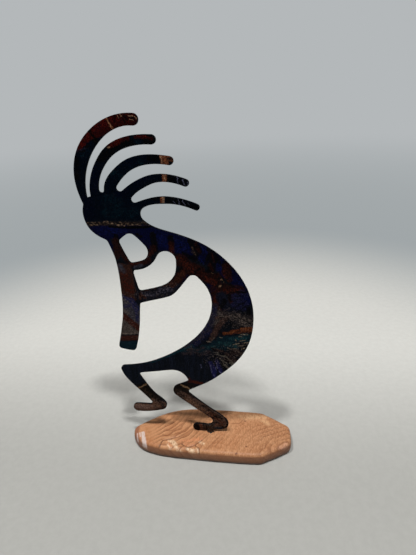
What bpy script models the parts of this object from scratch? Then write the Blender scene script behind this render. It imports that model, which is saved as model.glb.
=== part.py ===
"""A flute player cut from steel plate, standing on one foot on a smoothed slab of wood.

X runs along the slab, Y from front to back, Z up. The origin is the centre of the slab's underside.
"""

from math import atan2, ceil, cos, degrees, pi, radians, sin, sqrt

import bmesh
import bpy
from mathutils import Matrix, Vector

# Wooden slab
BASE_LENGTH = 0.153
BASE_WIDTH = 0.057
BASE_THICKNESS = 0.013
BASE_EDGE_RADIUS = 0.0025
BASE_EDGE_SEGMENTS = 4

# Steel plate figure, measured from its sole to the top of its highest plume
FIGURE_HEIGHT = 0.2888
PLATE_THICKNESS = 0.002

# How far the plate's middle stands in front of the slab's middle line
PLATE_FORWARD = 0.0019

# Steel rod welded to the front of the standing foot and let into the slab
PIN_DIAMETER = 0.0026
PIN_RISE = 0.0095
PIN_HOLE_FLOOR = 0.0035
PIN_HOLE_CLEARANCE = 0.0003
PIN_HOLE_BOTTOM_GAP = 0.0005
PIN_SIDES = 24

# Weld bead in the corners between the rod and the plate: lumps by turns on one side and the other
WELD_LUMPS = 4
WELD_LUMP_RADIUS = 0.0024
WELD_LUMP_OUTSET = 0.0005
WELD_FLATNESS = 0.72
WELD_LUMP_SIDES = 14
WELD_LUMP_RINGS = 9

# Gap kept wherever two pieces touch, and how far a cutter runs past what it cuts
TOUCH_GAP = 0.0003
CUTTER_OVERRUN = 0.002

# Degrees: the turn of an outline from point to point and of an arc from knot to knot, and the least
# turn of an edge that is rounded off or shaded as an edge
POINT_TURN = 7.0
KNOT_TURN = 60.0
EDGE_TURN = 60.0

# The two outlines are drawn on patterns of these sizes, then scaled to the real ones
PATTERN_HEIGHT = 288.8
PATTERN_BASE_LENGTH = 153.0
PATTERN_BASE_WIDTH = 57.0


def clear_scene():
    for obj in list(bpy.data.objects):
        bpy.data.objects.remove(obj, do_unlink=True)


# Outlines: a knot is a place with the heading in degrees of the line that passes it, 0 to the right and
# 90 up. An outline is a closed run of knots, followed clockwise, with a smooth curve from each to the next.

def at(x, z, heading):
    return [(x, z, heading)]


def arc(x, z, radius, start, end):
    """Knots round a circle from one heading to another; a falling heading turns clockwise."""
    side = 1 if end > start else -1
    steps = ceil(abs(end - start) / KNOT_TURN)
    knots = []
    for step in range(steps + 1):
        heading = start + (end - start) * step / steps
        across = radians(heading)
        knots.append((x + side * radius * sin(across), z - side * radius * cos(across), heading))
    return knots


def handle_share(leaving, arriving):
    """Hobby's rule: the length of a curve's handle as a share of its chord, for a round even curve."""
    lean = sin(leaving) - sin(arriving) / 16
    lean *= sin(arriving) - sin(leaving) / 16
    lean *= cos(leaving) - cos(arriving)
    spread = 1 + (sqrt(5) - 1) / 2 * cos(leaving) + (3 - sqrt(5)) / 2 * cos(arriving)
    return (2 + sqrt(2) * lean) / (3 * spread)


def folded(angle):
    return (angle + pi) % (2 * pi) - pi


def curve_points(first, second):
    """Points of the smooth curve from one knot up to, but not including, the next."""
    start, end = Vector(first[:2]), Vector(second[:2])
    chord = end - start
    along = atan2(chord.y, chord.x)
    leaving = folded(radians(first[2]) - along)
    arriving = folded(along - radians(second[2]))
    first_handle = chord.length * handle_share(leaving, arriving)
    second_handle = chord.length * handle_share(arriving, leaving)
    out = start + first_handle * Vector((cos(radians(first[2])), sin(radians(first[2]))))
    back = end - second_handle * Vector((cos(radians(second[2])), sin(radians(second[2]))))
    turned = degrees(abs(leaving) + abs(arriving))
    steps = max(1, ceil(turned / POINT_TURN))
    points = []
    for step in range(steps):
        t = step / steps
        s = 1 - t
        points.append(s**3 * start + 3 * s * s * t * out + 3 * s * t * t * back + t**3 * end)
    return points


def closed_curve(knots):
    points = []
    for index, knot in enumerate(knots):
        points += curve_points(knot, knots[(index + 1) % len(knots)])
    return points


# Pattern of the figure: x from the pin, z from the sole, on a figure PATTERN_HEIGHT tall.

def plume(outer_edge, tip, inner_edge, root):
    """Out along the upper edge, round the tip, back along the lower edge, round the gap's root."""
    knots = list(outer_edge)
    tip_x, tip_z, tip_radius, tip_heading = tip
    knots += arc(tip_x, tip_z, tip_radius, tip_heading, tip_heading - 180)
    knots += inner_edge
    knots += arc(*root)
    return knots


def plumes():
    knots = plume(
        at(-92.8, 244.5, 90) + at(-81.8, 273.3, 47),
        (-43.8, 284.7, 4.1, -6),
        at(-69.2, 271.4, -137),
        (-84.1, 231.0, 1.6, -86, 94),
    )
    knots += plume(
        at(-70.2, 263, 49),
        (-32, 271.2, 3.4, -4),
        at(-65.5, 257.3, -133),
        (-73.5, 236.5, 2.0, -93, 85),
    )
    knots += plume(
        at(-58, 254.6, 37),
        (-20.3, 256.5, 3.1, -10),
        at(-50, 249.8, -149),
        (-59.4, 237.6, 2.5, -128, 38),
    )
    knots += plume(
        at(-40, 245.5, 19),
        (-9.6, 240.6, 2.7, -22),
        at(-36.5, 239.6, -156),
        (-49.2, 228.8, 2.4, -132, 18),
    )
    knots += plume(
        at(-27, 230.9, -1),
        (-2.4, 222.5, 2.4, -24),
        at(-25, 225.4, 180),
        (-39.5, 217.2, 6.3, -150, -45),
    )
    return knots


def back():
    knots = at(-20, 202, -18)
    knots += at(10, 187.3, -38)
    knots += at(34.4, 156.8, -66)
    knots += at(40.4, 128, -90)
    knots += at(35, 98.7, -113)
    knots += at(10, 67.9, -140)
    knots += at(-10, 54.5, -154)
    return knots


def standing_leg():
    knots = arc(-18.2, 48, 1.6, -155, -42)
    knots += at(0, 29.1, -39)
    knots += at(11.5, 19.8, -46)
    knots += arc(10.2, 10.4, 7.2, -70, -166)
    knots += arc(-12.8, 4.4, 4.4, -180, -360)
    knots += arc(-2.7, 12.9, 5, -8, 138)
    knots += at(-15, 29.5, 144)
    knots += arc(-26.4, 48.5, 7, 138, 28)
    return knots


def crotch():
    knots = arc(-21.3, 61.5, 2.7, 28, 118)
    knots += at(-23, 68.7, 139)
    knots += at(-31.5, 72.1, 178)
    return knots


def raised_leg():
    knots = at(-45, 70.4, -173)
    knots += arc(-61.1, 65.6, 2.4, -172, -65)
    knots += at(-52.4, 45.2, -56)
    knots += arc(-47.6, 30.6, 6.4, -60, -163)
    knots += at(-57, 21.9, -170)
    knots += arc(-69.6, 26, 4.7, -180, -360)
    knots += arc(-57.6, 33.1, 2.5, -6, 126)
    knots += at(-65, 46.7, 130)
    knots += arc(-76.8, 71.6, 3.7, 103, 6)
    return knots


def belly():
    knots = at(-60.7, 77.7, 13)
    knots += at(-35.8, 87.7, 28)
    knots += at(-9.5, 107.3, 46)
    knots += at(6, 142, 90)
    knots += at(0, 160, 126)
    knots += arc(-8.2, 162.4, 4.7, 130, 225)
    return knots


def lower_arm():
    knots = at(-19, 156.6, -131)
    knots += at(-26.5, 149, -148)
    knots += at(-38, 145.1, -165)
    knots += arc(-53.6, 139.8, 1.3, -165, -95)
    return knots


def flute():
    knots = at(-57.5, 121, -99.5)
    knots += arc(-66.8, 96, 3.5, -110, -183)
    knots += arc(-76, 97.2, 2.9, -195, -284)
    knots += at(-74.8, 113.2, 76)
    knots += at(-69.7, 148, 90)
    knots += at(-70.5, 181, 97)
    return knots


def head():
    knots = arc(-78.3, 194, 4, 105, 155)
    knots += at(-86.5, 204.7, 130)
    knots += at(-91, 219.5, 88)
    knots += arc(-90.3, 226, 0.8, 72, 108)
    return knots


def upper_hole():
    """Between the mouthpiece, the neck and the upper arm."""
    knots = arc(-56.3, 197.3, 5, 30, -35)
    knots += arc(-51.5, 187.2, 8.3, -48, -165)
    knots += arc(-57, 180.2, 2.7, -172, -245)
    knots += arc(-62.4, 195, 3.2, -252, -318)
    return knots


def lower_hole():
    """Between the flute, the two arms and the chest."""
    knots = arc(-29.2, 179.7, 8, 62, -88)
    knots += at(-22.3, 170, -104)
    knots += at(-28, 161, -135)
    knots += at(-38, 155.8, -162)
    knots += arc(-52.2, 155.2, 2.7, -167, -262)
    knots += arc(-55.9, 169.6, 1.5, 95, 8)
    knots += at(-46, 173.5, 27)
    knots += at(-39, 179.1, 50)
    return knots


def figure_loops():
    outline = plumes() + back() + standing_leg() + crotch() + raised_leg()
    outline += belly() + lower_arm() + flute() + head()
    return [closed_curve(outline), closed_curve(upper_hole()), closed_curve(lower_hole())]


# Pattern of the slab seen from above: an uneven round left end and a right end of three flats.

def slab_loop():
    knots = at(-76.5, -4, 90)
    knots += at(-65.5, 7.8, 43)
    knots += at(-44.3, 22.3, 23)
    knots += at(-5, 28.5, 0)
    knots += arc(46.5, 15, 11.5, -5, -32)
    knots += arc(69.1, 6, 7.4, -32, -86)
    knots += arc(69.8, -8, 6.7, -94, -150)
    knots += arc(45.5, -17.7, 10.8, -150, -178)
    knots += at(5, -28.3, -180)
    knots += at(-35, -26.4, -184)
    knots += at(-58, -22.7, -196)
    knots += at(-70.3, -15.7, -225)
    return closed_curve(knots)


def make_material(name, colour, roughness, metallic):
    material = bpy.data.materials.new(name)
    material.use_nodes = True
    shader = material.node_tree.nodes["Principled BSDF"]
    shader.inputs["Base Color"].default_value = (*colour, 1)
    shader.inputs["Roughness"].default_value = roughness
    shader.inputs["Metallic"].default_value = metallic
    return material


def add_object(name, bm, material=None):
    bmesh.ops.recalc_face_normals(bm, faces=bm.faces)
    mesh = bpy.data.meshes.new(name)
    bm.to_mesh(mesh)
    bm.free()
    if material:
        mesh.materials.append(material)
    obj = bpy.data.objects.new(name, mesh)
    bpy.context.scene.collection.objects.link(obj)
    return obj


def add_cutter(name, bm):
    obj = add_object(name, bm)
    obj.hide_render = True
    obj.display_type = "WIRE"
    return obj


def add_boolean(obj, other, operation):
    modifier = obj.modifiers.new(other.name, "BOOLEAN")
    modifier.operation = operation
    modifier.object = other


def add_bevel(obj, width, segments):
    modifier = obj.modifiers.new("rounded edges", "BEVEL")
    modifier.width = width
    modifier.segments = segments
    modifier.limit_method = "ANGLE"
    modifier.angle_limit = radians(EDGE_TURN)


def shade_smooth(obj):
    obj.data.shade_smooth()
    obj.data.set_sharp_from_angle(angle=radians(EDGE_TURN))


def rod(radius, bottom, top):
    """An upright round rod where the pin stands."""
    bm = bmesh.new()
    bmesh.ops.create_cone(
        bm,
        cap_ends=True,
        segments=PIN_SIDES,
        radius1=radius,
        radius2=radius,
        depth=top - bottom,
        matrix=Matrix.Translation((0, pin_y(), (bottom + top) / 2)),
    )
    return bm


def block(low, high):
    """A box between two opposite corners."""
    bm = bmesh.new()
    bmesh.ops.create_cube(bm, size=1)
    bmesh.ops.translate(bm, vec=(0.5, 0.5, 0.5), verts=bm.verts)
    bmesh.ops.scale(bm, vec=Vector(high) - Vector(low), verts=bm.verts)
    bmesh.ops.translate(bm, vec=low, verts=bm.verts)
    return bm


def sole_height():
    return BASE_THICKNESS + TOUCH_GAP


def plate_front():
    return -PLATE_FORWARD - PLATE_THICKNESS / 2


def pin_y():
    """The rod stands against the plate's front face."""
    return plate_front() - TOUCH_GAP - PIN_DIAMETER / 2


def make_figure(material):
    """The plate: the pattern filled between its outline and its two holes, and given its thickness."""
    scale = FIGURE_HEIGHT / PATTERN_HEIGHT
    curve = bpy.data.curves.new("figure", "CURVE")
    curve.dimensions = "2D"
    curve.fill_mode = "BOTH"
    curve.extrude = PLATE_THICKNESS / 2
    for loop in figure_loops():
        spline = curve.splines.new("POLY")
        spline.points.add(len(loop) - 1)
        for point, place in zip(spline.points, loop):
            point.co = (place.x * scale, place.y * scale, 0, 1)
        spline.use_cyclic_u = True
    curve.materials.append(material)
    figure = bpy.data.objects.new("figure", curve)
    figure.rotation_euler.x = pi / 2
    figure.location = (0, -PLATE_FORWARD, sole_height())
    bpy.context.scene.collection.objects.link(figure)
    return figure


def make_base(material):
    bm = bmesh.new()
    wide = BASE_LENGTH / PATTERN_BASE_LENGTH
    deep = BASE_WIDTH / PATTERN_BASE_WIDTH
    corners = [bm.verts.new((place.x * wide, place.y * deep, 0)) for place in slab_loop()]
    underside = bm.faces.new(corners)
    raised = bmesh.ops.extrude_face_region(bm, geom=[underside])["geom"]
    lifted = [item for item in raised if isinstance(item, bmesh.types.BMVert)]
    bmesh.ops.translate(bm, vec=(0, 0, BASE_THICKNESS), verts=lifted)
    base = add_object("base", bm, material)
    shade_smooth(base)
    add_bevel(base, BASE_EDGE_RADIUS, BASE_EDGE_SEGMENTS)
    hole = rod(PIN_DIAMETER / 2 + PIN_HOLE_CLEARANCE, PIN_HOLE_FLOOR, BASE_THICKNESS + CUTTER_OVERRUN)
    add_boolean(base, add_cutter("pin_hole", hole), "DIFFERENCE")
    return base


def weld_lump(name, x, z):
    """A flattened ball halfway between the plate's face and the rod's middle."""
    bm = bmesh.new()
    squash = Matrix.Diagonal((1, WELD_FLATNESS, 1, 1))
    bmesh.ops.create_uvsphere(
        bm,
        u_segments=WELD_LUMP_SIDES,
        v_segments=WELD_LUMP_RINGS,
        radius=WELD_LUMP_RADIUS,
        matrix=Matrix.Translation((x, (plate_front() + pin_y()) / 2, z)) @ squash,
    )
    return add_cutter(name, bm)


def make_pin(material):
    """The rod with its weld bead, which is cut flat where it meets the plate."""
    top = BASE_THICKNESS + PIN_RISE
    shaft = rod(PIN_DIAMETER / 2, PIN_HOLE_FLOOR + PIN_HOLE_BOTTOM_GAP, top)
    pin = add_object("mounting_pin", shaft, material)
    shade_smooth(pin)
    outset = PIN_DIAMETER / 2 + WELD_LUMP_OUTSET
    lowest = sole_height() + WELD_LUMP_RADIUS
    for number in range(WELD_LUMPS):
        side = -1 if number % 2 else 1
        height = lowest + (top - lowest) * number / WELD_LUMPS
        add_boolean(pin, weld_lump(f"weld_lump_{number + 1}", side * outset, height), "UNION")
    room = WELD_LUMP_RADIUS + CUTTER_OVERRUN
    behind = block(
        (-outset - room, plate_front() - TOUCH_GAP, sole_height() - CUTTER_OVERRUN),
        (outset + room, plate_front() + room, top + room),
    )
    add_boolean(pin, add_cutter("plate_side", behind), "DIFFERENCE")
    return pin


def build():
    clear_scene()
    paint = make_material("painted steel", (0.012, 0.016, 0.035), 0.42, 0.6)
    wood = make_material("oiled wood", (0.52, 0.29, 0.15), 0.5, 0.0)
    weld = make_material("blackened steel", (0.03, 0.022, 0.018), 0.6, 0.7)
    make_figure(paint)
    make_base(wood)
    make_pin(weld)


build()
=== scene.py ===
import math
import random

import bmesh
import bpy
import numpy as np
from mathutils import Matrix, Vector, noise
from mathutils.geometry import convex_hull_2d, delaunay_2d_cdt


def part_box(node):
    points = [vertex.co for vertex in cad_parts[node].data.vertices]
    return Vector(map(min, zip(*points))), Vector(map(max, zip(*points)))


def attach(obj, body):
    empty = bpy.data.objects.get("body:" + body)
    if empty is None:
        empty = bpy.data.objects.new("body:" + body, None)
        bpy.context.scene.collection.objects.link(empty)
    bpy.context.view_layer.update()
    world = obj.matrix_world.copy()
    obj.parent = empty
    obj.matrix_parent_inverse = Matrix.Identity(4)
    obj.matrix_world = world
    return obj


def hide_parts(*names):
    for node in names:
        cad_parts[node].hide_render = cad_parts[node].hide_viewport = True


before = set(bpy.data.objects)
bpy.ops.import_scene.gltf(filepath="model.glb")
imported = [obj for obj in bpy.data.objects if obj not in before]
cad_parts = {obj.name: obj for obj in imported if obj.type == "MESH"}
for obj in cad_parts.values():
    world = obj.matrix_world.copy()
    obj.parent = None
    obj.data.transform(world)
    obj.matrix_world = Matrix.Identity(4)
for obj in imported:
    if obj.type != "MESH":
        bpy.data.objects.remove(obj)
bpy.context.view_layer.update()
mm = 0.001
print("frame loaded")


# Outlines and sheets. An outline is an array of points; the material lies on its left.

def faceOutlines(node, axis, level):
    # the closed outlines of a CAD node's flat face at this level of the axis
    bm = bmesh.new()
    bm.from_mesh(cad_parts[node].data)
    bmesh.ops.remove_doubles(bm, verts=bm.verts, dist=0.01 * mm)
    keep = [a for a in range(3) if a != axis]
    nextTo = {}
    for edge in bm.edges:
        flats = [all(abs(v.co[axis] - level) < 0.01 * mm for v in f.verts) for f in edge.link_faces]
        if sum(flats) == 1:
            a, b = edge.verts
            nextTo.setdefault(a, []).append(b)
            nextTo.setdefault(b, []).append(a)
    outlines = []
    while nextTo:
        first = next(iter(nextTo))
        run, last, here = [], None, first
        while here in nextTo:
            run.append([here.co[a] for a in keep])
            onward = [v for v in nextTo.pop(here) if v is not last]
            last, here = here, onward[0]
        outlines.append(np.array(run))
    bm.free()
    return outlines


def signedArea(points):
    x, y = points.T
    return 0.5 * np.sum(x * np.roll(y, -1) - y * np.roll(x, -1))


def turned(outlines):
    # the largest outline counterclockwise, the holes clockwise
    outlines = sorted(outlines, key=lambda ring: -abs(signedArea(ring)))
    result = []
    for number, ring in enumerate(outlines):
        wanted = 1 if number == 0 else -1
        result.append(ring if signedArea(ring) * wanted > 0 else ring[::-1])
    return result


def smoothRing(points, step):
    # a smooth closed curve through the points, with a new point about every step
    chord = np.roll(points, -1, 0) - points
    length = np.linalg.norm(chord, axis=1)
    way = chord / length[:, None]
    tangent = way + np.roll(way, 1, 0)
    tangent /= np.linalg.norm(tangent, axis=1)[:, None]
    result = []
    for i in range(len(points)):
        j = (i + 1) % len(points)
        parts = max(1, round(length[i] / step))
        t = (np.arange(parts) / parts)[:, None]
        start, end = tangent[i] * length[i], tangent[j] * length[i]
        result.append(
            (2 * t**3 - 3 * t**2 + 1) * points[i] + (t**3 - 2 * t**2 + t) * start
            + (3 * t**2 - 2 * t**3) * points[j] + (t**3 - t**2) * end
        )
    ring = np.concatenate(result)
    apart = np.linalg.norm(np.roll(ring, -1, 0) - ring, axis=1)
    return ring[apart > step * 0.3]


def inwards(ring):
    # the direction into the material at each point of an outline
    along = np.roll(ring, -1, 0) - np.roll(ring, 1, 0)
    along /= np.linalg.norm(along, axis=1)[:, None]
    return np.stack([-along[:, 1], along[:, 0]], 1)


def insideOf(points, rings):
    found = np.zeros(len(points), bool)
    x, y = points.T
    for ring in rings:
        for (ax, ay), (bx, by) in zip(ring, np.roll(ring, -1, 0)):
            if ay != by:
                crossing = (bx - ax) * (y - ay) / (by - ay) + ax
                found ^= ((ay > y) != (by > y)) & (x < crossing)
    return found


def distanceTo(points, line):
    # the distance from each point to a run of straight pieces
    nearest = np.full(len(points), 1e9)
    for a, b in zip(line[:-1], line[1:]):
        a, b = np.array(a, float), np.array(b, float)
        share = ((points - a) @ (b - a)) / max((b - a) @ (b - a), 1e-18)
        foot = a + np.clip(share, 0, 1)[:, None] * (b - a)
        nearest = np.minimum(nearest, np.linalg.norm(points - foot, axis=1))
    return nearest


def gridInside(rings, spacing, wanted):
    # a triangular grid of the wanted points inside the outlines, not too near them
    rowShare, edgeShare = 0.866, 0.6
    low, high = rings[0].min(0), rings[0].max(0)
    rows = []
    for number, y in enumerate(np.arange(low[1], high[1], spacing * rowShare)):
        x = np.arange(low[0] + (number % 2) * spacing / 2, high[0], spacing)
        rows.append(np.stack([x, np.full(len(x), y)], 1))
    grid = np.concatenate(rows)
    grid = grid[wanted(grid)]
    grid = grid[insideOf(grid, rings)]
    edge = np.concatenate(rings)
    nearest = np.full(len(grid), 1e9)
    for part in np.array_split(edge, 24):
        gap = np.linalg.norm(grid[:, None, :] - part[None, :, :], axis=2)
        nearest = np.minimum(nearest, gap.min(1))
    return grid[nearest > spacing * edgeShare]


def sheetSolid(name, rings, steps, grids, place):
    # a closed solid: steps are (inset, height) from the first face, over the rim, to the second face
    counts = [len(ring) for ring in rings]
    starts = np.cumsum([0] + counts)
    layers = []
    for inset, height in steps:
        moved = [ring + inwards(ring) * inset for ring in rings]
        flat = np.concatenate(moved)
        layers.append(np.column_stack([flat, np.full(len(flat), height)]))
    points = list(np.concatenate(layers))
    perLayer = starts[-1]
    faces = []
    for level in range(len(steps) - 1):
        for start, count in zip(starts, counts):
            for i in range(count):
                a = level * perLayer + start + i
                b = level * perLayer + start + (i + 1) % count
                faces.append((a, a + perLayer, b + perLayer, b))
    edges = []
    for start, count in zip(starts, counts):
        edges += [(int(start + i), int(start + (i + 1) % count)) for i in range(count)]
    for level in (0, len(steps) - 1):
        rim = layers[level][:, :2]
        outline = [rim[s:s + c] for s, c in zip(starts, counts)]
        inner = np.concatenate([gridInside(outline, spacing, wanted) for spacing, wanted in grids])
        flat = np.concatenate([rim, inner])
        found, _, triangles, origins, _, _ = delaunay_2d_cdt(
            [Vector(p / mm) for p in flat], edges, [], 1, 1e-5
        )
        indexOf = []
        for spot, origin in zip(found, origins):
            if origin and origin[0] < perLayer:
                indexOf.append(level * perLayer + origin[0])
            else:
                indexOf.append(len(points))
                points.append(np.array([spot.x * mm, spot.y * mm, steps[level][1]]))
        centres = np.array([sum((found[i] for i in t), Vector((0, 0))) / 3 for t in triangles]) * mm
        inside = insideOf(centres, outline)
        for triangle, kept in zip(triangles, inside):
            if kept:
                corners = [indexOf[i] for i in triangle]
                faces.append(corners if level == 0 else corners[::-1])
    places = place(np.array(points))
    mesh = bpy.data.meshes.new(name)
    mesh.from_pydata(places.tolist(), [], [list(map(int, face)) for face in faces])
    mesh.validate()
    mesh.shade_smooth()
    obj = bpy.data.objects.new(name, mesh)
    bpy.context.scene.collection.objects.link(obj)
    return obj


def noiseAt(places, size, seed=0.0, octaves=3):
    # fractal noise at each place, about -1 to 1, with features of this size
    shift = Vector((seed * 17.3, seed * 5.1, seed * 9.7))
    return np.array([noise.fractal(Vector(p) / size + shift, 1.0, 2.0, octaves) for p in places])


def meshPlaces(obj):
    places = np.zeros(len(obj.data.vertices) * 3)
    obj.data.vertices.foreach_get("co", places)
    return places.reshape(-1, 3)


def meshNormals(obj):
    normals = np.zeros(len(obj.data.vertices) * 3)
    obj.data.vertices.foreach_get("normal", normals)
    return normals.reshape(-1, 3)


def setPlaces(obj, places):
    obj.data.vertices.foreach_set("co", np.asarray(places, float).ravel())
    obj.data.update()


# Materials are built from small helpers: an input is a socket or a value.

def addNode(tree, kind, settings, inputs):
    node = tree.nodes.new(kind)
    for key, value in settings.items():
        setattr(node, key, value)
    for key, value in inputs.items():
        if isinstance(value, bpy.types.NodeSocket):
            tree.links.new(value, node.inputs[key])
        else:
            node.inputs[key].default_value = value
    return node


def maths(tree, operation, a, b=0.0, c=0.0):
    return addNode(tree, "ShaderNodeMath", {"operation": operation}, {0: a, 1: b, 2: c}).outputs[0]


def product(tree, first, *factors):
    for factor in factors:
        first = maths(tree, "MULTIPLY", first, factor)
    return first


def vectorMaths(tree, operation, a, b=(0, 0, 0)):
    return addNode(tree, "ShaderNodeVectorMath", {"operation": operation}, {0: a, 1: b}).outputs[0]


def vectorMeasure(tree, operation, a, b=(0, 0, 0)):
    # a vector operation whose result is one number
    return addNode(tree, "ShaderNodeVectorMath", {"operation": operation}, {0: a, 1: b}).outputs["Value"]


def stretched(tree, vector, factors):
    return vectorMaths(tree, "MULTIPLY", vector, factors)


def scaled(tree, vector, scale):
    node = addNode(tree, "ShaderNodeVectorMath", {"operation": "SCALE"}, {0: vector, "Scale": scale})
    return node.outputs[0]


def axes(tree, vector):
    return addNode(tree, "ShaderNodeSeparateXYZ", {}, {0: vector}).outputs


def span(tree, value, low, high, toLow=0.0, toHigh=1.0):
    settings = {"interpolation_type": "SMOOTHSTEP", "clamp": False}
    inputs = {"Value": value, "From Min": low, "From Max": high, "To Min": toLow, "To Max": toHigh}
    return addNode(tree, "ShaderNodeMapRange", settings, inputs).outputs["Result"]


def noiseNode(tree, place, scale, detail=3.0, rough=0.6, twist=0.0):
    inputs = {"Vector": place, "Scale": scale, "Detail": detail, "Roughness": rough, "Distortion": twist}
    return addNode(tree, "ShaderNodeTexNoise", {}, inputs).outputs


def speckle(tree, place, scale, detail=3.0, rough=0.6, twist=0.0):
    return noiseNode(tree, place, scale, detail, rough, twist)["Fac"]


def wander(tree, place, scale, rough, reach):
    # an offset that changes from place to place, up to half the reach on each axis
    noiseValues = noiseNode(tree, place, scale, 4.0, rough)["Color"]
    return scaled(tree, vectorMaths(tree, "SUBTRACT", noiseValues, (0.5, 0.5, 0.5)), reach)


def blend(tree, share, under, over, mode="MIX"):
    settings = {"data_type": "RGBA", "blend_type": mode}
    return addNode(tree, "ShaderNodeMix", settings, {0: share, 6: under, 7: over}).outputs[2]


def laid(tree, under, over, *shares):
    # one colour laid over another, as strongly as the product of the shares
    return blend(tree, product(tree, *shares), under, over)


def shadedBy(tree, colour, level):
    grey = addNode(tree, "ShaderNodeCombineColor", {}, {0: level, 1: level, 2: level}).outputs[0]
    return blend(tree, 1.0, colour, grey, "MULTIPLY")


def tone(red, green, blue):
    # a colour as seen on screen, 0 to 255, as the shader's own values
    values = []
    for part in (red, green, blue):
        part /= 255
        values.append(part / 12.92 if part <= 0.04045 else ((part + 0.055) / 1.055) ** 2.4)
    return (*values, 1.0)


def makeStrokeGroup():
    # 1 along the line from Start to End, fading to 0 past Width on either side
    tree = bpy.data.node_groups.new("brushStroke", "ShaderNodeTree")
    for name, kind in (("Place", "Vector"), ("Start", "Vector"), ("End", "Vector"),
                       ("Width", "Float"), ("Feather", "Float")):
        tree.interface.new_socket(name, in_out="INPUT", socket_type="NodeSocket" + kind)
    tree.interface.new_socket("Mask", in_out="OUTPUT", socket_type="NodeSocketFloat")
    given = tree.nodes.new("NodeGroupInput").outputs
    along = vectorMaths(tree, "SUBTRACT", given["End"], given["Start"])
    offset = vectorMaths(tree, "SUBTRACT", given["Place"], given["Start"])
    reach = vectorMeasure(tree, "DOT_PRODUCT", offset, along)
    length = maths(tree, "MAXIMUM", vectorMeasure(tree, "DOT_PRODUCT", along, along), 0.0001)
    share = maths(tree, "DIVIDE", reach, length)
    share = maths(tree, "MINIMUM", maths(tree, "MAXIMUM", share, 0.0), 1.0)
    aside = vectorMaths(tree, "SUBTRACT", offset, scaled(tree, along, share))
    inner = maths(tree, "SUBTRACT", given["Width"], given["Feather"])
    outer = maths(tree, "ADD", given["Width"], given["Feather"])
    mask = span(tree, vectorMeasure(tree, "LENGTH", aside), inner, outer, 1.0, 0.0)
    result = tree.nodes.new("NodeGroupOutput")
    tree.links.new(mask, result.inputs["Mask"])
    return tree


strokeGroup = makeStrokeGroup()


def stroke(tree, place, start, end, width, feather):
    inputs = {"Place": place, "Start": start, "End": end, "Width": width, "Feather": feather}
    node = addNode(tree, "ShaderNodeGroup", {"node_tree": strokeGroup}, inputs)
    return node.outputs["Mask"]


def largest(tree, masks):
    top = masks[0]
    for mask in masks[1:]:
        top = maths(tree, "MAXIMUM", top, mask)
    return top


def newMaterial(name):
    # also gives the place in millimetres
    material = bpy.data.materials.new(name)
    material.use_nodes = True
    tree = material.node_tree
    place = addNode(tree, "ShaderNodeTexCoord", {}, {}).outputs["Object"]
    return material, tree, tree.nodes["Principled BSDF"], scaled(tree, place, 1 / mm)


def setSurface(tree, shader, colour, roughness, specular, metallic=0.0):
    tree.links.new(colour, shader.inputs["Base Color"])
    tree.links.new(roughness, shader.inputs["Roughness"])
    shader.inputs["Specular IOR Level"].default_value = specular
    shader.inputs["Metallic"].default_value = metallic


def addBump(tree, shader, height, distance, strength=1.0):
    inputs = {"Height": height, "Distance": distance, "Strength": strength}
    bump = addNode(tree, "ShaderNodeBump", {}, inputs)
    tree.links.new(bump.outputs["Normal"], shader.inputs["Normal"])


def finish(obj, material, node):
    obj.data.materials.clear()
    obj.data.materials.append(material)
    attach(obj, "root")
    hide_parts(node)


# The painted steel plate. Places are in millimetres on its front face: across, up.

plateShape = {
    "edgeRound": 0.35 * mm,
    "wallLevels": (0.3, 0.0, -0.3),
    "outlineStep": 0.7 * mm,
    "gridStep": 1.9 * mm,
    "weldGridStep": 0.6 * mm,
    "cutRipple": 0.05 * mm,
    "cutRippleLength": 1.4 * mm,
    "warp": 0.10 * mm,
    "warpLength": 45 * mm,
    "warpFullFrom": 60 * mm,
    "torchMarks": 0.04 * mm,
    "torchMarkLength": 4 * mm,
}

weldCrust = {
    "line": [(-9, 18), (2, 18), (11, 21), (12, 27), (7, 34), (-2, 40)],
    "reach": 7.5 * mm,
    "spread": 0.8,
    "crowding": 0.7,
    "fadeEnd": 1.6,
    "fadeWidth": 0.75,
    "lumps": 210,
    "lumpRadius": (0.7, 1.9),
    "lumpHeight": (0.15, 0.75),
    "seed": 7,
}


def crustLine():
    return [(x * mm, z * mm) for x, z in weldCrust["line"]]


def plateMiddle():
    low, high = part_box("figure")
    return (low.y + high.y) / 2


def placeUpright(points):
    return np.stack([points[:, 0], plateMiddle() - points[:, 2], points[:, 1]], 1)


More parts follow.
